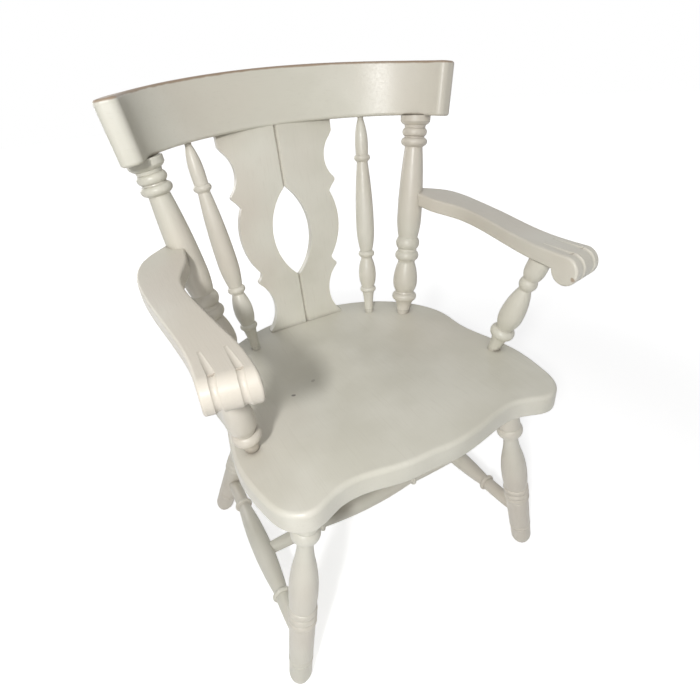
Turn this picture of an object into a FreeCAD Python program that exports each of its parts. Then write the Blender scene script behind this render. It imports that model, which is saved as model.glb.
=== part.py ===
import FreeCAD, Part
import math
import os

# Captains chair: a saddled plank seat on four splayed turned legs with an H stretcher,
# turned back posts and spindles, a pierced splat in two halves, a bent crest rail and
# bowed arms with knuckle-carved hands on raked turned arm posts.
# Millimetres. +Z up, the chair faces -Y, the floor is z = 0, the middle plane is x = 0.

V = FreeCAD.Vector

# Seat
SEAT_HEIGHT = 440.0
SEAT_THICKNESS = 36.0
SEAT_HALF_WIDTH = 262.0
SEAT_FRONT = -262.0
SEAT_REAR = 235.0
SEAT_TOP_ROUND = 7.0
SEAT_BOTTOM_ROUND = 5.0
SADDLE_DEPTH = 9.0
SADDLE_RIM = 0.7
SADDLE_X = 100.0
SADDLE_Y = 10.0
SADDLE_SPREAD_X = 85.0
SADDLE_SPREAD_Y = 125.0
SADDLE_MARGIN = 30.0
SADDLE_ROWS = 13

# Legs, given where each axis meets the floor and the underside of the seat
FRONT_FOOT = (SEAT_HALF_WIDTH - 0.5, -210.5)
FRONT_LEG_TOP = (SEAT_HALF_WIDTH - 77.0, -191.0)
REAR_FOOT = (SEAT_HALF_WIDTH + 3.0, 234.0)
REAR_LEG_TOP = (SEAT_HALF_WIDTH - 139.0, 125.0)
LEG_TENON_RADIUS = 13.0
LEG_TENON_LENGTH = 24.0
LEG_TENON_EXPOSED = 9.0
LEG_SOLE_RADIUS = 8.5
LEG_UNDERCUT = 5.0

# Stretchers
STRETCHER_HEIGHT = 95.0
CROSS_STRETCHER_Y = -14.0
STRETCHER_TENON_RADIUS = 12.0
STRETCHER_NECK_STEP = 4.5
STRETCHER_FULLNESS = 0.7
SIDE_TENON_REACH = 13.0
SIDE_TAPER = 72.0
SIDE_RING = 18.0
SIDE_BULB = 19.5
CROSS_TENON_REACH = 9.0
CROSS_TAPER = 102.0
CROSS_RING = 17.8
CROSS_BULB = 19.0

# Back: where each axis meets the seat top and the underside of the crest rail
BACK_HEIGHT = 366.0
POST_FOOT = (SEAT_HALF_WIDTH - 77.5, 109.0)
POST_TOP = (SEAT_HALF_WIDTH - 25.5, 134.0)
POST_TENON_RADIUS = 12.0
POST_FOOT_TENON = 20.0
POST_TOP_TENON_RADIUS = 10.0
POST_TOP_TENON = 28.0
POST_COLLAR_OVERRUN = 4.0
SPINDLE_FOOT = (SEAT_HALF_WIDTH - 134.0, 155.0)
SPINDLE_TOP = (SEAT_HALF_WIDTH - 104.0, 197.0)
SPINDLE_TENON_RADIUS = 8.0
SPINDLE_FOOT_TENON = 18.0
SPINDLE_TIP_RADIUS = 5.5
SPINDLE_TIP_TENON = 20.0

# Crest rail: its middle line is part of an ellipse in plan
RAIL_HALF_SPAN = SEAT_HALF_WIDTH - 1.5
RAIL_BOW = 174.0
RAIL_BOW_CENTRE = 60.0
RAIL_SWEEP = 84.0
RAIL_THICKNESS = 32.0
RAIL_END_DEPTH = 82.0
RAIL_MIDDLE_DEPTH = 88.0
RAIL_BOTTOM_ARCH = 6.0
RAIL_LEAN = 7.5
RAIL_STATIONS = 13
RAIL_END_ROUND = 12.5
RAIL_EDGE_ROUND = 4.5

# Splat: its front face leans back from the seat to the rail
SPLAT_FOOT_Y = 192.0
SPLAT_TOP_Y = 219.5
SPLAT_THICKNESS = 13.5
SPLAT_HALF_WIDTH = 107.0
SPLAT_SEAT_TENON = 12.0
SPLAT_RAIL_TENON = 11.0
SPLAT_VEE_DEPTH = 4.0
EYE_HALF_WIDTH = 38.5

# Arms
ARM_THICKNESS = 24.5
ARM_SKEW = 12.0
ARM_TILT = 1.0
ARM_EDGE_ROUND = 3.5
HAND_RADIUS = 22.5
HAND_Y = -228.0
HAND_RISE = 187.0
THROAT_ANGLE = 8.0
THROAT_LENGTH = 13.0
GROOVE_POSITIONS = (0.25, 0.7)
GROOVE_RADIUS = 5.5
GROOVE_DEPTH = 2.5
GROOVE_RUN = 50.0
GROOVE_FADE = 2.9
GROOVE_TURN = 190.0
ARM_POST_FOOT = (SEAT_HALF_WIDTH - 32.0, -110.0)
ARM_POST_TOP = (SEAT_HALF_WIDTH - 4.0, -167.0)
ARM_POST_FOOT_RADIUS = 10.0
ARM_POST_FOOT_TENON = 20.0
ARM_POST_TIP_RADIUS = 9.0
ARM_POST_TIP_TENON = 13.0

# Hidden fixings where each arm meets its back post
SCREW_RADIUS = 2.2
SCREW_HEAD_RADIUS = 4.6
SCREW_HEAD_HEIGHT = 3.4
SCREW_LENGTH = 56.0
SCREW_RISE = 37.0
SCREW_DIRECTION = (0.64, -0.77)
SCREW_POST_RADIUS = 21.5
PLUG_RADIUS = 4.9
PLUG_LENGTH = 7.0
PLUG_PROUD = 0.3

# Fits: a tenon keeps its size a little way out of its hole
TENON_OVERRUN = 4.0
SIDE_CLEARANCE = 0.1
END_CLEARANCE = 0.8
SEAM_CLEARANCE = 0.05

# Levels that follow
SEAT_BOTTOM = SEAT_HEIGHT - SEAT_THICKNESS
HAND_HEIGHT = SEAT_HEIGHT + HAND_RISE
RAIL_BOTTOM_END = SEAT_HEIGHT + BACK_HEIGHT
RAIL_BOTTOM_MIDDLE = RAIL_BOTTOM_END + RAIL_BOTTOM_ARCH
RAIL_TOP_END = RAIL_BOTTOM_END + RAIL_END_DEPTH
RAIL_TOP_MIDDLE = RAIL_BOTTOM_MIDDLE + RAIL_MIDDLE_DEPTH


def point(place, height):
    return V(place[0], place[1], height)


def mirrored(shape):
    return shape.mirror(V(0, 0, 0), V(1, 0, 0))


def along(start, end, distance):
    direction = (end - start).normalize()
    return start + direction * distance


def curve(points):
    spline = Part.BSplineCurve()
    spline.interpolate(points)
    return spline.toShape()


def mirror_point(p):
    return V(-p.x, p.y, p.z)


# Turned work
# A turning is a list of elements, each a kind, a length, its end radius and the rest.
# A bead or cove is an arc through its middle radius. A swell is two arcs that meet at its
# widest radius, at a share of its length. One length is None and takes what is left.
def crest_arc(crest, end):
    # An arc that runs along the axis where it meets the crest
    drop = crest.x - end.x
    rise = end.z - crest.z
    radius = (drop ** 2 + rise ** 2) / (2 * drop)
    half_turn = math.atan2(rise, radius - drop) / 2
    middle = V(crest.x - radius * (1 - math.cos(half_turn)), 0, crest.z + radius * math.sin(half_turn))
    return Part.Arc(crest, middle, end).toShape()


def turned(total, start_radius, elements, grow=0.0):
    fixed = sum(element[1] for element in elements if element[1] is not None)
    height = 0.0
    radius = start_radius + grow
    edges = [Part.LineSegment(V(0, 0, 0), V(radius, 0, 0)).toShape()]
    for element in elements:
        kind = element[0]
        length = element[1] if element[1] is not None else total - fixed
        start = V(radius, 0, height)
        height += length
        radius = element[2] + grow
        end = V(radius, 0, height)
        if kind == "arc":
            middle = V(element[3] + grow, 0, height - length / 2)
            edges.append(Part.Arc(start, middle, end).toShape())
        elif kind == "swell":
            crest = V(element[3] + grow, 0, height - length * (1 - element[4]))
            edges.append(crest_arc(crest, start))
            edges.append(crest_arc(crest, end))
        else:
            edges.append(Part.LineSegment(start, end).toShape())
    edges.append(Part.LineSegment(V(radius, 0, height), V(0, 0, height)).toShape())
    edges.append(Part.LineSegment(V(0, 0, height), V(0, 0, 0)).toShape())
    face = Part.Face(Part.Wire(edges))
    return face.revolve(V(0, 0, 0), V(0, 0, 1), 360)


def placed(shape, start, end):
    direction = end - start
    shape.Placement = FreeCAD.Placement(start, FreeCAD.Rotation(V(0, 0, 1), direction))
    return shape


def rod(start, end, radius):
    return Part.makeCylinder(radius, (end - start).Length, start, end - start)


def socket(entry, outside, depth, radius):
    inner = along(entry, outside, -depth - END_CLEARANCE)
    outer = along(entry, outside, 2 * radius)
    return rod(inner, outer, radius + SIDE_CLEARANCE)


# Axes, all for the right side
LEG_AXES = {
    "front": (point(FRONT_FOOT, 0), point(FRONT_LEG_TOP, SEAT_BOTTOM)),
    "rear": (point(REAR_FOOT, 0), point(REAR_LEG_TOP, SEAT_BOTTOM)),
}
POST_AXIS = (point(POST_FOOT, SEAT_HEIGHT), point(POST_TOP, RAIL_BOTTOM_END))
SPINDLE_AXIS = (point(SPINDLE_FOOT, SEAT_HEIGHT), point(SPINDLE_TOP, RAIL_BOTTOM_END))
ARM_POST_AXIS = (
    point(ARM_POST_FOOT, SEAT_HEIGHT),
    point(ARM_POST_TOP, HAND_HEIGHT),
)


def leg_point(which, height):
    foot, top = LEG_AXES[which]
    return foot + (top - foot) * (height / SEAT_BOTTOM)


SIDE_AXIS = (leg_point("front", STRETCHER_HEIGHT), leg_point("rear", STRETCHER_HEIGHT))


def side_axis_point(y):
    front, rear = SIDE_AXIS
    return front + (rear - front) * ((y - front.y) / (rear.y - front.y))


CROSS_END = side_axis_point(CROSS_STRETCHER_Y)


# Crest rail
def rail_frame(angle):
    turn = math.radians(angle)
    middle = V(RAIL_HALF_SPAN * math.sin(turn), RAIL_BOW_CENTRE + RAIL_BOW * math.cos(turn), 0)
    outward = V(math.sin(turn) / RAIL_HALF_SPAN, math.cos(turn) / RAIL_BOW, 0).normalize()
    lean = math.radians(RAIL_LEAN)
    up = V(0, 0, math.cos(lean)) + outward * math.sin(lean)
    across = outward * math.cos(lean) - V(0, 0, math.sin(lean))
    return middle, across, up


def rail_levels(angle):
    share = (math.sin(math.radians(angle)) / math.sin(math.radians(RAIL_SWEEP))) ** 2
    bottom = RAIL_BOTTOM_MIDDLE + (RAIL_BOTTOM_END - RAIL_BOTTOM_MIDDLE) * share
    top = RAIL_TOP_MIDDLE + (RAIL_TOP_END - RAIL_TOP_MIDDLE) * share
    return bottom, top


def rail_section(angle):
    middle, across, up = rail_frame(angle)
    bottom, top = rail_levels(angle)
    low = middle + V(0, 0, bottom)
    high = low + up * ((top - bottom) / up.z)
    half = across * (RAIL_THICKNESS / 2)
    corners = [low - half, low + half, high + half, high - half]
    return Part.makePolygon(corners + [corners[0]])


def rail_angle(x):
    return math.degrees(math.asin(x / RAIL_HALF_SPAN))


def rail_blank():
    step = 2 * RAIL_SWEEP / (RAIL_STATIONS - 1)
    sections = [rail_section(-RAIL_SWEEP + step * i) for i in range(RAIL_STATIONS)]
    blank = Part.makeLoft(sections, True, False)
    ends = [e for e in blank.Edges if e.BoundBox.YLength < RAIL_THICKNESS
            and e.BoundBox.ZLength > RAIL_THICKNESS]
    blank = blank.makeFillet(RAIL_END_ROUND, ends)
    middle_level = (RAIL_BOTTOM_END + RAIL_TOP_END) / 2
    loops = [e for e in blank.Edges if abs(e.CenterOfMass.z - middle_level) > RAIL_THICKNESS / 2]
    return blank.makeFillet(RAIL_EDGE_ROUND, loops)


def above_rail_bottom(x):
    # A block with its lower face just under the plane of the rail's underside near x
    angle = rail_angle(x)
    middle, _, up = rail_frame(angle)
    bottom = rail_levels(angle)[0]
    base = middle + V(0, 0, bottom) - up * SEAM_CLEARANCE
    return Part.makeCylinder(RAIL_THICKNESS * 2, RAIL_THICKNESS, base, up)


# Splat
def splat_y(height):
    rise = (height - SEAT_HEIGHT) / (RAIL_BOTTOM_END - SEAT_HEIGHT)
    return SPLAT_FOOT_Y + (SPLAT_TOP_Y - SPLAT_FOOT_Y) * rise


def splat_point(x, height):
    return V(x, splat_y(height), height)


def splat_line(start, end):
    return Part.LineSegment(splat_point(*start), splat_point(*end)).toShape()


# The right edge from the seat up, as shares of the half width and of the back height:
# where it starts, arcs by their middle and end, and where the straight shoulder starts
SPLAT_START = (0.748, 0.008)
SPLAT_ARCS = [
    ((0.561, 0.142), (0.757, 0.276)),
    ((0.785, 0.288), (0.776, 0.301)),
    ((0.724, 0.317), (0.701, 0.336)),
    ((0.939, 0.536), (0.827, 0.680)),
    ((0.879, 0.702), (0.935, 0.719)),
    ((0.958, 0.734), (0.939, 0.747)),
    ((0.804, 0.839), (0.944, 0.940)),
]
SPLAT_SHOULDER = (1.0, 0.964)
EYE_SPAN = (0.281, 0.746)


def splat_place(share):
    return share[0] * SPLAT_HALF_WIDTH, SEAT_HEIGHT + share[1] * BACK_HEIGHT


def splat_half():
    foot = SEAT_HEIGHT - SPLAT_SEAT_TENON
    head = RAIL_BOTTOM_MIDDLE + SPLAT_RAIL_TENON
    seam = SEAM_CLEARANCE
    start = splat_place(SPLAT_START)
    shoulder = splat_place(SPLAT_SHOULDER)
    edges = [splat_line((seam, foot), (start[0], foot)), splat_line((start[0], foot), start)]
    for middle, end in SPLAT_ARCS:
        corners = [splat_point(*p) for p in (start, splat_place(middle), splat_place(end))]
        edges.append(Part.Arc(*corners).toShape())
        start = splat_place(end)
    eye_low, eye_high = [SEAT_HEIGHT + share * BACK_HEIGHT for share in EYE_SPAN]
    eye = Part.Arc(
        splat_point(seam, eye_high),
        splat_point(EYE_HALF_WIDTH, (eye_low + eye_high) / 2),
        splat_point(seam, eye_low),
    )
    edges += [
        splat_line(start, shoulder),
        splat_line(shoulder, (shoulder[0], head)),
        splat_line((shoulder[0], head), (seam, head)),
        splat_line((seam, head), (seam, eye_high)),
        eye.toShape(),
        splat_line((seam, eye_low), (seam, foot)),
    ]
    face = Part.Face(Part.Wire(edges))
    board = face.extrude(splat_normal() * SPLAT_THICKNESS)
    return board.cut(splat_vee())


def splat_normal():
    up = splat_point(0, RAIL_BOTTOM_END) - splat_point(0, SEAT_HEIGHT)
    return up.cross(V(1, 0, 0)).normalize()


def splat_vee():
    # The two boards meet at a V along the middle of the front face
    foot = splat_point(0, SEAT_HEIGHT - SPLAT_SEAT_TENON * 2)
    head = splat_point(0, RAIL_TOP_MIDDLE)
    depth = splat_normal() * SPLAT_VEE_DEPTH
    side = V(SPLAT_VEE_DEPTH, 0, 0)
    triangle = Part.makePolygon([foot - side, foot + side, foot + depth, foot - side])
    return Part.Face(triangle).extrude(head - foot)


def splat_slot(low, high, half):
    # A slot for both boards, between two heights
    corners = [(-half, low), (half, low), (half, high), (-half, high), (-half, low)]
    normal = splat_normal()
    wire = Part.makePolygon([splat_point(x, z) - normal * SIDE_CLEARANCE for x, z in corners])
    return Part.Face(wire).extrude(normal * (SPLAT_THICKNESS + 2 * SIDE_CLEARANCE))


# Seat
# The right half of its outline from the front, as shares of the half width and the depth
SEAT_OUTLINE = [
    (0.229, 0.006), (0.374, 0.022), (0.504, 0.034), (0.641, 0.024), (0.790, 0.0),
    (0.901, 0.032), (0.969, 0.121), (1.0, 0.245), (0.969, 0.386), (0.933, 0.517),
    (0.948, 0.628), (0.908, 0.724), (0.756, 0.847), (0.485, 0.950), (0.252, 0.990),
]


def seat_outline():
    depth = SEAT_REAR - SEAT_FRONT
    right = [V(x * SEAT_HALF_WIDTH, SEAT_FRONT + y * depth, SEAT_BOTTOM) for x, y in SEAT_OUTLINE]
    left = [mirror_point(p) for p in reversed(right)]
    points = [V(0, SEAT_FRONT, SEAT_BOTTOM)] + right + [V(0, SEAT_REAR, SEAT_BOTTOM)] + left
    spline = Part.BSplineCurve()
    spline.interpolate(points, PeriodicFlag=True)
    return Part.Wire([spline.toShape()])


def saddle_tool():
    # A block over the seat whose underside has the two shallow dishes
    rows = []
    for i in range(SADDLE_ROWS):
        across = 2 * i / (SADDLE_ROWS - 1) - 1
        x = across * (SEAT_HALF_WIDTH + SADDLE_MARGIN)
        row = []
        for j in range(SADDLE_ROWS):
            run = j / (SADDLE_ROWS - 1)
            y = SEAT_FRONT - SADDLE_MARGIN + run * (SEAT_REAR - SEAT_FRONT + 2 * SADDLE_MARGIN)
            dish = sum(
                math.exp(-((x - side * SADDLE_X) / SADDLE_SPREAD_X) ** 2
                         - ((y - SADDLE_Y) / SADDLE_SPREAD_Y) ** 2)
                for side in (-1, 1)
            )
            row.append(V(x, y, SEAT_HEIGHT + SADDLE_RIM - SADDLE_DEPTH * dish))
        rows.append(row)
    surface = Part.BSplineSurface()
    surface.interpolate(rows)
    return surface.toShape().extrude(V(0, 0, SEAT_THICKNESS))


def seat():
    blank = Part.Face(seat_outline()).extrude(V(0, 0, SEAT_THICKNESS))
    top = [e for e in blank.Edges if e.BoundBox.ZMin > SEAT_HEIGHT - SEAT_TOP_ROUND]
    blank = blank.makeFillet(SEAT_TOP_ROUND, top)
    bottom = [e for e in blank.Edges if e.BoundBox.ZMax < SEAT_BOTTOM + SEAT_BOTTOM_ROUND]
    blank = blank.makeFillet(SEAT_BOTTOM_ROUND, bottom)
    blank = blank.cut(saddle_tool())
    holes = []
    for which in ("front", "rear"):
        foot, top_point = LEG_AXES[which]
        holes.append(socket(top_point, foot, LEG_TENON_LENGTH, LEG_TENON_RADIUS))
    holes.append(socket(*POST_AXIS, POST_FOOT_TENON, POST_TENON_RADIUS))
    holes.append(socket(*SPINDLE_AXIS, SPINDLE_FOOT_TENON, SPINDLE_TENON_RADIUS))
    holes.append(socket(*ARM_POST_AXIS, ARM_POST_FOOT_TENON, ARM_POST_FOOT_RADIUS))
    holes += [mirrored(hole) for hole in holes]
    slot_floor = SEAT_HEIGHT - SPLAT_SEAT_TENON - END_CLEARANCE
    slot_half = splat_place(SPLAT_START)[0] + SIDE_CLEARANCE
    holes.append(splat_slot(slot_floor, SEAT_HEIGHT + SEAT_THICKNESS, slot_half))
    return blank.cut(holes)


# Legs
LEG_RING = [("line", 1.0, 21.2), ("line", 1.0, 22.2), ("arc", 10.0, 22.2, 23.6), ("line", 1.0, 21.2)]
LEG_TURNING = [
    ("arc", 23.0, 19.6, 16.6),
    ("line", 32.0, 19.9),
    ("line", 1.0, 19.0),
    ("arc", 10.0, 19.4, 20.8),
    ("line", 1.0, 20.4),
    ("line", 78.0, 21.8),
    *(3 * LEG_RING),
    ("line", 2.0, 21.6),
    ("swell", 99.0, 16.0, 23.6, 0.35),
    ("arc", 38.0, 12.6, 13.4),
    ("line", 2.0, 17.5),
    ("arc", 21.0, 18.5, 22.6),
    ("line", 3.0, 19.5),
    ("line", None, 15.5),
    ("line", 3.0, LEG_TENON_RADIUS),
    ("line", LEG_TENON_EXPOSED + LEG_TENON_LENGTH, LEG_TENON_RADIUS),
]


def leg(which):
    foot, top = LEG_AXES[which]
    start = along(foot, top, -LEG_UNDERCUT)
    end = along(top, foot, -LEG_TENON_LENGTH)
    body = turned((end - start).Length, LEG_SOLE_RADIUS, LEG_TURNING)
    body = placed(body, start, end)
    reach = 4 * LEG_SOLE_RADIUS
    floor = Part.makeBox(2 * reach, 2 * reach, reach, foot - V(reach, reach, reach))
    toward = SIDE_AXIS[1] if which == "front" else SIDE_AXIS[0]
    entry = leg_point(which, STRETCHER_HEIGHT)
    return body.cut([floor, socket(entry, toward, SIDE_TENON_REACH, STRETCHER_TENON_RADIUS)])


# Stretchers, each with a bulb between two rings and the same taper at both ends
def stretcher_turning(tenon, taper, ring, bulb):
    neck = ring - STRETCHER_NECK_STEP
    middle = (STRETCHER_TENON_RADIUS + neck) / 2 + STRETCHER_FULLNESS
    return [
        ("line", tenon, STRETCHER_TENON_RADIUS),
        ("arc", taper, neck, middle),
        ("arc", 9.0, neck, ring),
        ("line", 3.0, neck - 1.0),
        ("swell", None, neck - 1.0, bulb, 0.5),
        ("line", 3.0, neck),
        ("arc", 9.0, neck, ring),
        ("arc", taper, STRETCHER_TENON_RADIUS, middle),
        ("line", tenon, STRETCHER_TENON_RADIUS),
    ]


def stretcher(front, rear, reach, turning):
    start = along(front, rear, -reach)
    end = along(rear, front, -reach)
    return placed(turned((end - start).Length, STRETCHER_TENON_RADIUS, turning), start, end)


def side_stretcher():
    turning = stretcher_turning(2 * SIDE_TENON_REACH, SIDE_TAPER, SIDE_RING, SIDE_BULB)
    body = stretcher(*SIDE_AXIS, SIDE_TENON_REACH, turning)
    return body.cut(socket(CROSS_END, mirror_point(CROSS_END), CROSS_TENON_REACH, STRETCHER_TENON_RADIUS))


def cross_stretcher():
    turning = stretcher_turning(3 * CROSS_TENON_REACH, CROSS_TAPER, CROSS_RING, CROSS_BULB)
    return stretcher(mirror_point(CROSS_END), CROSS_END, CROSS_TENON_REACH, turning)


# Back posts and spindles
POST_TURNING = [
    ("line", POST_FOOT_TENON + TENON_OVERRUN, POST_TENON_RADIUS),
    ("line", 1.0, 13.5),
    ("arc", 21.0, 20.0, 14.8),
    ("arc", 16.0, 19.5, 24.9),
    ("line", 3.0, 18.6),
    ("swell", 61.0, 16.5, 24.4, 0.33),
    ("line", 4.0, 18.0),
    ("arc", 18.0, 19.0, 23.4),
    ("line", 5.0, 18.6),
    ("arc", 22.0, 19.0, 23.2),
    ("line", 3.0, 19.5),
    ("swell", None, 16.3, 23.4, 0.22),
    ("line", 2.0, 18.5),
    ("arc", 14.0, 18.5, 23.8),
    ("line", 2.0, 18.0),
    ("arc", 14.0, 18.5, 22.3),
    ("line", 4.5, 19.5),
    ("arc", 6.0, 26.5, 24.0),
    ("line", 13.0, 27.0),
]


def post_axis_total():
    foot, top = POST_AXIS
    return POST_FOOT_TENON + (top - foot).Length + POST_COLLAR_OVERRUN


def post_body(grow=0.0):
    foot, top = POST_AXIS
    start = along(foot, top, -POST_FOOT_TENON)
    body = turned(post_axis_total(), POST_TENON_RADIUS, POST_TURNING, grow)
    return placed(body, start, top)


def back_post():
    foot, top = POST_AXIS
    body = post_body().cut(above_rail_bottom(POST_TOP[0]))
    tip = along(top, foot, -POST_TOP_TENON)
    tenon = rod(along(top, foot, 2 * POST_TOP_TENON_RADIUS), tip, POST_TOP_TENON_RADIUS)
    body = body.fuse(tenon).removeSplitter()
    return body.cut(screw_holes_in_post())


SPINDLE_TURNING = [
    ("line", SPINDLE_FOOT_TENON + TENON_OVERRUN, SPINDLE_TENON_RADIUS),
    ("line", 1.0, 9.0),
    ("arc", 38.0, 12.5, 9.6),
    ("arc", 11.0, 13.0, 16.4),
    ("line", 2.0, 13.5),
    ("swell", 58.0, 11.0, 17.7, 0.42),
    ("line", 3.0, 12.4),
    ("arc", 12.0, 12.4, 16.2),
    ("swell", None, 10.4, 17.9, 0.27),
    ("line", 2.0, 11.8),
    ("arc", 11.0, 11.8, 15.2),
    ("swell", 60.0, SPINDLE_TIP_RADIUS, 12.2, 0.33),
    ("line", SPINDLE_TIP_TENON, SPINDLE_TIP_RADIUS),
]


def back_spindle():
    foot, top = SPINDLE_AXIS
    start = along(foot, top, -SPINDLE_FOOT_TENON)
    end = along(top, foot, -SPINDLE_TIP_TENON)
    body = turned((end - start).Length, SPINDLE_TENON_RADIUS, SPINDLE_TURNING)
    return placed(body, start, end)


def crest_rail():
    rail = rail_blank()
    holes = [
        socket(POST_AXIS[1], POST_AXIS[0], POST_TOP_TENON, POST_TOP_TENON_RADIUS),
        socket(SPINDLE_AXIS[1], SPINDLE_AXIS[0], SPINDLE_TIP_TENON, SPINDLE_TIP_RADIUS),
    ]
    holes += [mirrored(hole) for hole in holes]
    slot_roof = RAIL_BOTTOM_MIDDLE + SPLAT_RAIL_TENON + END_CLEARANCE
    slot_half = splat_place(SPLAT_SHOULDER)[0] + SIDE_CLEARANCE
    holes.append(splat_slot(RAIL_BOTTOM_END - RAIL_THICKNESS, slot_roof, slot_half))
    return rail.cut(holes)


# Arms
# Inner and outer edge in plan: how far out from the top of the arm post, and y
ARM_INNER = [
    (-53, 118), (-39, 99), (-35, 76), (-25, 52), (-13, 24), (-9.5, -5),
    (-14, -60), (-22, -120), (-29, -180), (-29, -235), (-28, -290),
]
ARM_OUTER = [
    (-28, 138), (-2, 121), (26, 97), (41, 60), (43.5, 20), (40, -40),
    (32.5, -115), (30, -175), (34, -228), (39, -290),
]
# The top from the post to the hand: y, and how far above the crown of the hand
ARM_TOP = [(150, 33.5), (90, 26.5), (30, 17.5), (-60, 9), (-130, 3), (-190, 0.5)]


def arm_edge(outline, height):
    return [V(ARM_POST_TOP[0] + x, y, height) for x, y in outline]


def arm_plan():
    base = HAND_HEIGHT - 3 * HAND_RADIUS
    inner = arm_edge(ARM_INNER, base)
    outer = arm_edge(ARM_OUTER, base)
    edges = [
        curve(inner),
        Part.LineSegment(inner[-1], outer[-1]).toShape(),
        curve(outer),
        Part.LineSegment(outer[0], inner[0]).toShape(),
    ]
    return Part.Face(Part.Wire(edges)).extrude(V(0, 0, 6 * HAND_RADIUS))


def arm_profile():
    # The side view of the arm in the plane x = 0: a plank that ends in a round scroll
    centre = V(0, HAND_Y, HAND_HEIGHT)
    crown = centre + V(0, 0, HAND_RADIUS)
    top = [V(0, y, crown.z + rise) for y, rise in ARM_TOP]
    under = [p - V(0, 0, ARM_THICKNESS) for p in top[:-1]]
    turn = math.radians(THROAT_ANGLE)
    neck = centre + V(0, HAND_RADIUS * math.cos(turn), -HAND_RADIUS * math.sin(turn))
    throat = V(0, neck.y + THROAT_LENGTH, top[-1].z - ARM_THICKNESS)
    edges = [
        curve(top + [crown]),
        Part.Arc(crown, centre - V(0, HAND_RADIUS, 0), neck).toShape(),
        Part.LineSegment(neck, throat).toShape(),
        curve([throat] + list(reversed(under))),
        Part.LineSegment(under[0], top[0]).toShape(),
    ]
    return Part.Face(Part.Wire(edges))


HAND_INNER = ARM_POST_TOP[0] + ARM_INNER[-2][0]
HAND_WIDTH = ARM_OUTER[-2][0] - ARM_INNER[-2][0]


def hand_axis_point(x):
    # The middle line of the scroll, which runs back and down on its way outwards
    outwards = x - HAND_INNER
    back = outwards * math.tan(math.radians(ARM_SKEW))
    return V(x, HAND_Y + back, HAND_HEIGHT - ARM_TILT * outwards / HAND_WIDTH)


def arm_blank():
    near = arm_edge(ARM_INNER, 0)[0].x - ARM_THICKNESS
    far = near + ARM_THICKNESS * 5
    face = arm_profile()
    face.translate(hand_axis_point(near) - V(0, HAND_Y, HAND_HEIGHT))
    blank = face.extrude(hand_axis_point(far) - hand_axis_point(near)).common(arm_plan())
    long_edges = [
        e for e in blank.Edges
        if e.BoundBox.YMin < POST_FOOT[1] / 2 and e.BoundBox.XLength < 1.5 * e.BoundBox.YLength
    ]
    return blank.makeFillet(ARM_EDGE_ROUND, long_edges)


def knuckle_groove(share):
    # A round groove from the top of the hand, over the front and under the scroll
    centre = hand_axis_point(HAND_INNER + share * HAND_WIDTH)
    axis = (centre - hand_axis_point(HAND_INNER)).normalize()
    rise = V(0, 0, HAND_RADIUS + GROOVE_RADIUS - GROOVE_DEPTH)
    ring = Part.Face(Part.Wire(Part.makeCircle(GROOVE_RADIUS, centre + rise, V(0, 1, 0))))
    ring = ring.revolve(centre, axis, GROOVE_TURN)
    run = V(0, GROOVE_RUN, GROOVE_FADE)
    return ring.fuse(rod(centre + rise, centre + rise + run, GROOVE_RADIUS))


def arm():
    body = arm_blank().cut(post_body(SEAM_CLEARANCE))
    foot, top = ARM_POST_AXIS
    holes = [socket(top, foot, ARM_POST_TIP_TENON, ARM_POST_TIP_RADIUS)]
    holes += [knuckle_groove(share) for share in GROOVE_POSITIONS]
    holes.append(arm_pilot_hole())
    body = body.cut(holes)
    return max(body.Solids, key=lambda solid: solid.Volume)


ARM_POST_TURNING = [
    ("line", ARM_POST_FOOT_TENON + TENON_OVERRUN, ARM_POST_FOOT_RADIUS),
    ("line", 1.0, 11.0),
    ("arc", 25.0, 14.5, 11.8),
    ("arc", 20.0, 14.5, 21.3),
    ("line", 3.0, 14.8),
    ("swell", 79.0, 10.5, 20.7, 0.3),
    ("line", 4.0, 12.8),
    ("arc", 14.0, 13.2, 15.0),
    ("line", 3.0, 12.6),
    ("arc", 18.0, 17.4, 16.4),
    ("line", None, 17.6),
]


def arm_post():
    foot, top = ARM_POST_AXIS
    start = along(foot, top, -ARM_POST_FOOT_TENON)
    overrun = along(top, foot, -ARM_POST_TIP_RADIUS / 2)
    body = turned((overrun - start).Length, ARM_POST_FOOT_RADIUS, ARM_POST_TURNING)
    body = placed(body, start, overrun)
    seat_of_arm = arm_blank()
    seat_of_arm.translate(V(0, 0, -SEAM_CLEARANCE))
    body = max(body.cut(seat_of_arm).Solids, key=lambda solid: solid.Volume)
    tip = along(top, foot, -ARM_POST_TIP_TENON)
    tenon = rod(along(top, foot, ARM_POST_TIP_RADIUS * 2), tip, ARM_POST_TIP_RADIUS)
    return body.fuse(tenon).removeSplitter()


# Screws and plugs: each arm is screwed from behind, through the post
def screw_line():
    foot, top = POST_AXIS
    share = (HAND_HEIGHT + SCREW_RISE - foot.z) / (top.z - foot.z)
    centre = foot + (top - foot) * share
    forward = V(SCREW_DIRECTION[0], SCREW_DIRECTION[1], 0).normalize()
    return centre, forward


def screw_seat():
    # Where the head bears, measured back from the axis of the post
    centre, forward = screw_line()
    return centre - forward * (SCREW_POST_RADIUS - PLUG_LENGTH - SCREW_HEAD_HEIGHT)


def arm_screw():
    forward = screw_line()[1]
    seat_point = screw_seat()
    head = rod(seat_point - forward * SCREW_HEAD_HEIGHT, seat_point, SCREW_HEAD_RADIUS)
    shank = rod(seat_point - forward * SCREW_RADIUS, seat_point + forward * SCREW_LENGTH, SCREW_RADIUS)
    return head.fuse(shank).removeSplitter()


def arm_pilot_hole():
    centre, forward = screw_line()
    end = screw_seat() + forward * (SCREW_LENGTH + END_CLEARANCE)
    return rod(centre, end, SCREW_RADIUS + SEAM_CLEARANCE)


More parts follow.
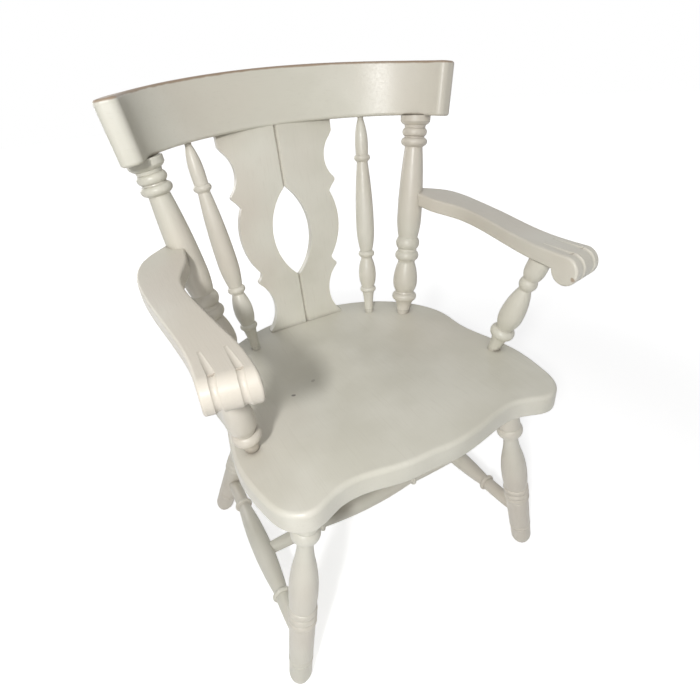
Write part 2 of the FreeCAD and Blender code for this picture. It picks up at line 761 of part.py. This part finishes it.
def screw_holes_in_post():
    forward = screw_line()[1]
    seat_point = screw_seat()
    outside = seat_point - forward * 3 * SCREW_POST_RADIUS
    bore = rod(outside, seat_point, PLUG_RADIUS + SEAM_CLEARANCE)
    through = rod(seat_point, seat_point + forward * 3 * SCREW_POST_RADIUS, SCREW_RADIUS + SIDE_CLEARANCE)
    return bore.fuse(through)


def screw_plug():
    forward = screw_line()[1]
    inner = screw_seat() - forward * (SCREW_HEAD_HEIGHT + SEAM_CLEARANCE)
    plug = rod(inner, inner - forward * 3 * PLUG_LENGTH, PLUG_RADIUS)
    return plug.common(post_body(PLUG_PROUD))


def save(name, shape):
    shape.exportStep("parts/" + name + ".step")
    print(name, shape.ShapeType, len(shape.Solids), shape.isValid(), round(shape.Volume), shape.BoundBox)


def main():
    os.makedirs("parts", exist_ok=True)
    save("seat", seat())
    for which in ("front", "rear"):
        body = leg(which)
        save("leg_" + which + "_right", body)
        save("leg_" + which + "_left", mirrored(body))
    body = side_stretcher()
    save("side_stretcher_right", body)
    save("side_stretcher_left", mirrored(body))
    save("cross_stretcher", cross_stretcher())
    body = back_post()
    save("back_post_right", body)
    save("back_post_left", mirrored(body))
    body = back_spindle()
    save("back_spindle_right", body)
    save("back_spindle_left", mirrored(body))
    body = splat_half()
    save("splat_right", body)
    save("splat_left", mirrored(body))
    save("crest_rail", crest_rail())
    body = arm()
    save("arm_right", body)
    save("arm_left", mirrored(body))
    body = arm_post()
    save("arm_post_right", body)
    save("arm_post_left", mirrored(body))
    screw = arm_screw()
    save("arm_screws", Part.makeCompound([screw, mirrored(screw)]))
    plug = screw_plug()
    save("screw_plugs", Part.makeCompound([plug, mirrored(plug)]))


main()
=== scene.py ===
import bpy
import math
from mathutils import Matrix, Vector


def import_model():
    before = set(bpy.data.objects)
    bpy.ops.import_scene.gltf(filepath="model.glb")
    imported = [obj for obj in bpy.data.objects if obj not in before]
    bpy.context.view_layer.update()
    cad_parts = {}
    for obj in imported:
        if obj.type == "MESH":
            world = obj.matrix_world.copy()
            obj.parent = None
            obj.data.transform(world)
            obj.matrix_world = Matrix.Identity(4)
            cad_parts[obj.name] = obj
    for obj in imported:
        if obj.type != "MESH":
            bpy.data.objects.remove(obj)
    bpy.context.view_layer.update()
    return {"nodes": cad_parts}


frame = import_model()
nodes = frame["nodes"]

# Captains chair in brushed off-white paint. Metres, in the frame of the CAD model:
# +Z up, the chair faces -Y, and the floor is z = 0.

# Colours, linear
PAINT = (0.66, 0.64, 0.55)
PAINT_LIGHT = (0.73, 0.71, 0.625)
PAINT_DARK = (0.56, 0.525, 0.44)
PAINT_WARM = (0.65, 0.592, 0.51)
# Grime for the mark on the seat, and dirt with painted shade in the hollows
GRIME_AND_SHADE = (0.17, 0.135, 0.10)
# Bare wood for the chip on the right hand, and painted shade along the top of the crest rail
BARE_WOOD_AND_TOP_SHADE = (0.27, 0.16, 0.085)
DARK_NICK = (0.05, 0.035, 0.025)
STEEL = (0.55, 0.55, 0.56)
WHITE = (1.0, 1.0, 1.0)
FLOOR = (0.8, 0.8, 0.8)

# Paint finish. A range gives the two values of a noise between which its effect comes in, and a
# detail is the number of finer layers in a noise
ROUGHNESS = 0.32
ROUGHNESS_SPREAD = 0.1
ROUGHNESS_RANGE = (0.25, 0.8)
SPECULAR = 0.5
STROKE_DEPTH = 0.00015
STROKES_ACROSS = 420.0
STROKES_ALONG = 14.0
STROKE_DETAIL = 3.0
STROKE_RANGE = (0.52, 0.78)
STROKE_SHADE = 0.2
FINE_SCALE = 900.0
FINE_DETAIL = 2.0
FINE_SHARE = 0.25
MOTTLE_SCALE = 7.0
MOTTLE_DETAIL = 4.0
MOTTLE_RANGE = (0.36, 0.64)
WARM_SCALE = 3.1
WARM_DETAIL = 3.0
WARM_RANGE = (0.38, 0.62)
WARMTH = 0.8
WARMTH_SEAT = 0.3
WARMTH_RAIL = 0.5

# Dirt and painted shade in the hollows: grooves, creases and joints get darker the more enclosed they
# are. The crevice range is in shares of open sky: 1 is a surface with nothing near it
CREVICE_REACH = 0.015
CREVICE_SAMPLES = 6
CREVICE_RANGE = (0.25, 0.85)
CREVICE_DIRT_AND_SHADE = 0.75
DIRT_AND_SHADE_SCALE = 60.0
DIRT_AND_SHADE_DETAIL = 3.0
DIRT_AND_SHADE_RANGE = (0.2, 0.65)
DIRT_AND_SHADE_LEAST = 0.45

# Worn places, and the painted shade along the top of the crest rail
RAIL_TOP_MIDDLE = 0.900
RAIL_TOP_DROP = 0.012
RAIL_REACH = 0.259
RAIL_SHADE_DEPTH = 0.0035
RAIL_SHADE_SCALE = 38.0
RAIL_SHADE_DETAIL = 4.0
RAIL_SHADE_EDGE = 0.0012
RAIL_SHADE_STRENGTH = 0.8
HAND_CHIP = (0.2295, -0.2445, 0.6195)
HAND_CHIP_SIZE = 0.0038
HAND_CHIP_STRENGTH = 0.65
SEAT_NICK = (-0.1262, -0.0205, 0.4325)
SEAT_NICK_SIZE = 0.0042
SEAT_NICK_STRENGTH = 0.7
SEAT_MARK = (-0.081, 0.0, 0.4325)
SEAT_MARK_SIZE = 0.0045
SEAT_MARK_STRENGTH = 0.35
BLOT_SCALE = 190.0
BLOT_DETAIL = 2.0
BLOT_UNEVEN = 1.6
BLOT_CORE = 0.6

# Steel of the screws
STEEL_SCALE = 500.0
STEEL_DETAIL = 3.0
STEEL_RANGE = (0.3, 0.7)
STEEL_ROUGHNESS = (0.28, 0.42)

# Colour sockets of the mix node, counted because other sockets have the same names
MIX_COLOUR_A = 6
MIX_COLOUR_B = 7
MIX_COLOUR_OUT = 2

# Camera. The roll is in degrees, the lens and the sensor in millimetres
CAMERA_PLACE = (-0.3299, -0.6478, 0.9163)
CAMERA_AIM = (0.0524, 0.1115, 0.3897)
CAMERA_ROLL = -5.04
CAMERA_SENSOR = 36.0
CAMERA_LENS = 24.89
CAMERA_NEAR = 0.02

# Light. The powers are in watts
WORLD_LEVEL = 0.2
LIGHT_AIM = (0.0, 0.0, 0.5)
KEY_PLACE = (-0.74, -0.94, 1.22)
KEY_SIZE = 0.12
KEY_POWER = 11.5
TOP_PLACE = (-0.3, -0.9, 2.3)
TOP_SIZE = 1.2
TOP_POWER = 6.0
LOW_PLACE = (-1.2, -1.7, 0.6)
LOW_SIZE = 0.8
LOW_POWER = 3.0
BACK_PLACE = (-0.8, 2.0, 1.0)
BACK_SIZE = 0.8
BACK_POWER = 7.0

# Floor. The camera sees it glow a little near the chair, and as pure white past the fade
FLOOR_RADIUS = 9.0
FLOOR_SIDES = 96
FLOOR_DROP = 0.0005
FLOOR_GLOW = 0.64
FLOOR_FADE = (0.9, 2.0)


class Tree:
    """A node tree with short calls for the nodes used here"""

    def __init__(self, tree):
        self.tree = tree
        tree.nodes.clear()

    def add(self, kind, **settings):
        node = self.tree.nodes.new(kind)
        for name, value in settings.items():
            setattr(node, name, value)
        return node

    def plug(self, source, target):
        if isinstance(source, bpy.types.NodeSocket):
            self.tree.links.new(source, target)
        elif isinstance(source, tuple) and len(source) == 3 and target.type == "RGBA":
            target.default_value = (*source, 1.0)
        else:
            target.default_value = source

    def math(self, operation, a, b):
        node = self.add("ShaderNodeMath", operation=operation)
        self.plug(a, node.inputs[0])
        self.plug(b, node.inputs[1])
        return node.outputs[0]

    def ramp(self, value, low, high, start=0.0, end=1.0):
        node = self.add("ShaderNodeMapRange", interpolation_type="SMOOTHSTEP")
        for target, source in zip(node.inputs, (value, low, high, start, end)):
            self.plug(source, target)
        return node.outputs[0]

    def mix(self, share, a, b):
        """A blend of two colours"""
        node = self.add("ShaderNodeMix", data_type="RGBA")
        self.plug(share, node.inputs["Factor"])
        self.plug(a, node.inputs[MIX_COLOUR_A])
        self.plug(b, node.inputs[MIX_COLOUR_B])
        return node.outputs[MIX_COLOUR_OUT]

    def place(self):
        return self.add("ShaderNodeTexCoord").outputs["Object"]

    def noise(self, scale, detail, stretch=(1.0, 1.0, 1.0)):
        mapping = self.add("ShaderNodeMapping")
        mapping.inputs["Scale"].default_value = stretch
        self.plug(self.place(), mapping.inputs["Vector"])
        node = self.add("ShaderNodeTexNoise")
        self.plug(mapping.outputs[0], node.inputs["Vector"])
        node.inputs["Scale"].default_value = scale
        node.inputs["Detail"].default_value = detail
        return node.outputs[0]

    def near(self, centre, size):
        """A blot round a point, with an uneven edge"""
        gap = self.add("ShaderNodeVectorMath", operation="DISTANCE")
        self.plug(self.place(), gap.inputs[0])
        gap.inputs[1].default_value = centre
        uneven = self.math("SUBTRACT", self.noise(BLOT_SCALE, BLOT_DETAIL), 0.5)
        uneven = self.math("MULTIPLY", uneven, BLOT_UNEVEN * size)
        reach = self.math("ADD", gap.outputs["Value"], uneven)
        return self.ramp(reach, BLOT_CORE * size, size, 1.0, 0.0)


def finish_shader(tree, colour, roughness, bump_height):
    shader = tree.add("ShaderNodeBsdfPrincipled")
    tree.plug(colour, shader.inputs["Base Color"])
    tree.plug(roughness, shader.inputs["Roughness"])
    shader.inputs["Specular IOR Level"].default_value = SPECULAR
    bump = tree.add("ShaderNodeBump")
    bump.inputs["Distance"].default_value = STROKE_DEPTH
    tree.plug(bump_height, bump.inputs["Height"])
    tree.plug(bump.outputs[0], shader.inputs["Normal"])
    output = tree.add("ShaderNodeOutputMaterial")
    tree.plug(shader.outputs[0], output.inputs[0])


def rail_top_shade(tree):
    """Painted shade: a brown band along the up-facing top edge of the crest rail, which drops towards
    its ends
    """
    split = tree.add("ShaderNodeSeparateXYZ")
    tree.plug(tree.place(), split.inputs[0])
    share = tree.math("DIVIDE", split.outputs["X"], RAIL_REACH)
    drop = tree.math("MULTIPLY", tree.math("MULTIPLY", share, share), RAIL_TOP_DROP)
    level = tree.math("SUBTRACT", RAIL_TOP_MIDDLE, drop)
    below = tree.math("SUBTRACT", level, split.outputs["Z"])
    uneven = tree.math("MULTIPLY", tree.noise(RAIL_SHADE_SCALE, RAIL_SHADE_DETAIL), RAIL_SHADE_DEPTH)
    depth = tree.math("SUBTRACT", below, uneven)
    return tree.ramp(depth, -RAIL_SHADE_EDGE, RAIL_SHADE_EDGE, RAIL_SHADE_STRENGTH, 0.0)


def paint(name, grain, warmth=WARMTH, blots=(), rail=False):
    """Brushed satin paint. grain is the axis that the brush marks follow"""
    material = bpy.data.materials.new(name)
    material.use_nodes = True
    tree = Tree(material.node_tree)
    stretch = [STROKES_ACROSS] * 3
    stretch["XYZ".index(grain)] = STROKES_ALONG
    strokes = tree.noise(1.0, STROKE_DETAIL, stretch)
    fine = tree.noise(FINE_SCALE, FINE_DETAIL)
    mottle = tree.ramp(tree.noise(MOTTLE_SCALE, MOTTLE_DETAIL), *MOTTLE_RANGE)
    colour = tree.mix(mottle, PAINT, PAINT_LIGHT)
    warm = tree.ramp(tree.noise(WARM_SCALE, WARM_DETAIL), *WARM_RANGE, 0.0, warmth)
    colour = tree.mix(warm, colour, PAINT_WARM)
    marks = tree.ramp(strokes, *STROKE_RANGE, 0.0, STROKE_SHADE)
    colour = tree.mix(marks, colour, PAINT_DARK)
    # Dirt with painted shade: grooves, creases and joints are darkened unevenly by how enclosed they
    # are
    crevice = tree.add("ShaderNodeAmbientOcclusion", samples=CREVICE_SAMPLES)
    crevice.inputs["Distance"].default_value = CREVICE_REACH
    dirt_and_shade = tree.ramp(crevice.outputs["AO"], *CREVICE_RANGE, CREVICE_DIRT_AND_SHADE, 0.0)
    patches = tree.ramp(tree.noise(DIRT_AND_SHADE_SCALE, DIRT_AND_SHADE_DETAIL), *DIRT_AND_SHADE_RANGE, DIRT_AND_SHADE_LEAST, 1.0)
    colour = tree.mix(tree.math("MULTIPLY", dirt_and_shade, patches), colour, GRIME_AND_SHADE)
    # Painted shade: the up-facing top of the crest rail is coloured brown
    if rail:
        colour = tree.mix(rail_top_shade(tree), colour, BARE_WOOD_AND_TOP_SHADE)
    for centre, size, shade, strength in blots:
        blot = tree.math("MULTIPLY", tree.near(centre, size), strength)
        colour = tree.mix(blot, colour, shade)
    roughness = tree.ramp(strokes, *ROUGHNESS_RANGE, ROUGHNESS, ROUGHNESS + ROUGHNESS_SPREAD)
    height = tree.math("ADD", strokes, tree.math("MULTIPLY", fine, FINE_SHARE))
    finish_shader(tree, colour, roughness, height)
    return material


def steel():
    material = bpy.data.materials.new("screw_steel_finish")
    material.use_nodes = True
    tree = Tree(material.node_tree)
    shader = tree.add("ShaderNodeBsdfPrincipled")
    shader.inputs["Base Color"].default_value = (*STEEL, 1.0)
    shader.inputs["Metallic"].default_value = 1.0
    roughness = tree.ramp(tree.noise(STEEL_SCALE, STEEL_DETAIL), *STEEL_RANGE, *STEEL_ROUGHNESS)
    tree.plug(roughness, shader.inputs["Roughness"])
    output = tree.add("ShaderNodeOutputMaterial")
    tree.plug(shader.outputs[0], output.inputs[0])
    return material


def dress(names, material):
    for name in names:
        for slot in nodes[name].material_slots:
            slot.material = material


def dress_chair():
    """Upright brush marks everywhere first, then the pieces with other marks of their own"""
    chip = (HAND_CHIP, HAND_CHIP_SIZE, BARE_WOOD_AND_TOP_SHADE, HAND_CHIP_STRENGTH)
    nick = (SEAT_NICK, SEAT_NICK_SIZE, DARK_NICK, SEAT_NICK_STRENGTH)
    mark = (SEAT_MARK, SEAT_MARK_SIZE, GRIME_AND_SHADE, SEAT_MARK_STRENGTH)
    dress([name for name in nodes if name != "arm_screws"], paint("paint_upright", "Z"))
    dress(["seat"], paint("paint_seat", "Y", WARMTH_SEAT, (nick, mark)))
    dress(["crest_rail"], paint("paint_rail", "X", WARMTH_RAIL, rail=True))
    dress(["cross_stretcher"], paint("paint_across", "X"))
    dress(["arm_left", "side_stretcher_left", "side_stretcher_right"], paint("paint_lengthways", "Y"))
    dress(["arm_right"], paint("paint_arm_right", "Y", blots=(chip,)))
    dress(["arm_screws"], steel())


def camera():
    data = bpy.data.cameras.new("camera")
    data.sensor_width = CAMERA_SENSOR
    data.lens = CAMERA_LENS
    data.clip_start = CAMERA_NEAR
    shown = bpy.data.objects.new("camera", data)
    bpy.context.scene.collection.objects.link(shown)
    place = Vector(CAMERA_PLACE)
    turn = (Vector(CAMERA_AIM) - place).to_track_quat("-Z", "Y").to_matrix().to_4x4()
    roll = Matrix.Rotation(math.radians(CAMERA_ROLL), 4, "Z")
    shown.matrix_world = Matrix.Translation(place) @ turn @ roll
    bpy.context.scene.camera = shown


def lamp(name, place, size, power):
    data = bpy.data.lights.new(name, "AREA")
    data.shape = "DISK"
    data.size = size
    data.energy = power
    shown = bpy.data.objects.new(name, data)
    bpy.context.scene.collection.objects.link(shown)
    place = Vector(place)
    turn = (Vector(LIGHT_AIM) - place).to_track_quat("-Z", "Y").to_matrix().to_4x4()
    shown.matrix_world = Matrix.Translation(place) @ turn


def seen_directly(tree):
    """1 for rays from the camera, and for those off gloss and through glass"""
    path = tree.add("ShaderNodeLightPath")
    gloss = tree.math("MAXIMUM", path.outputs["Is Camera Ray"], path.outputs["Is Glossy Ray"])
    return tree.math("MAXIMUM", gloss, path.outputs["Is Transmission Ray"])


def world():
    data = bpy.data.worlds.new("world")
    bpy.context.scene.world = data
    data.use_nodes = True
    tree = Tree(data.node_tree)
    back = tree.add("ShaderNodeBackground")
    back.inputs["Color"].default_value = (*WHITE, 1.0)
    level = tree.ramp(seen_directly(tree), 0.0, 1.0, WORLD_LEVEL, 1.0)
    tree.plug(level, back.inputs["Strength"])
    output = tree.add("ShaderNodeOutputWorld")
    tree.plug(back.outputs[0], output.inputs[0])


def floor():
    """A pale floor that shows as white, with the chair's soft shadow on it"""
    bpy.ops.mesh.primitive_circle_add(vertices=FLOOR_SIDES, radius=FLOOR_RADIUS, fill_type="NGON")
    ground = bpy.context.object
    ground.name = "floor"
    ground.location.z = -FLOOR_DROP
    material = bpy.data.materials.new("floor_white")
    material.use_nodes = True
    tree = Tree(material.node_tree)
    cloth = tree.add("ShaderNodeBsdfDiffuse")
    cloth.inputs["Color"].default_value = (*FLOOR, 1.0)
    glow = tree.add("ShaderNodeEmission")
    glow.inputs["Color"].default_value = (*WHITE, 1.0)
    distance = tree.add("ShaderNodeVectorMath", operation="LENGTH")
    tree.plug(tree.place(), distance.inputs[0])
    far = tree.ramp(distance.outputs["Value"], *FLOOR_FADE, FLOOR_GLOW, 1.0)
    tree.plug(tree.math("MULTIPLY", far, seen_directly(tree)), glow.inputs["Strength"])
    both = tree.add("ShaderNodeAddShader")
    tree.plug(cloth.outputs[0], both.inputs[0])
    tree.plug(glow.outputs[0], both.inputs[1])
    output = tree.add("ShaderNodeOutputMaterial")
    tree.plug(both.outputs[0], output.inputs[0])
    ground.data.materials.append(material)


dress_chair()
camera()
world()
floor()
lamp("key", KEY_PLACE, KEY_SIZE, KEY_POWER)
lamp("top", TOP_PLACE, TOP_SIZE, TOP_POWER)
lamp("low", LOW_PLACE, LOW_SIZE, LOW_POWER)
lamp("back", BACK_PLACE, BACK_SIZE, BACK_POWER)
bpy.context.scene.view_settings.view_transform = "Standard"
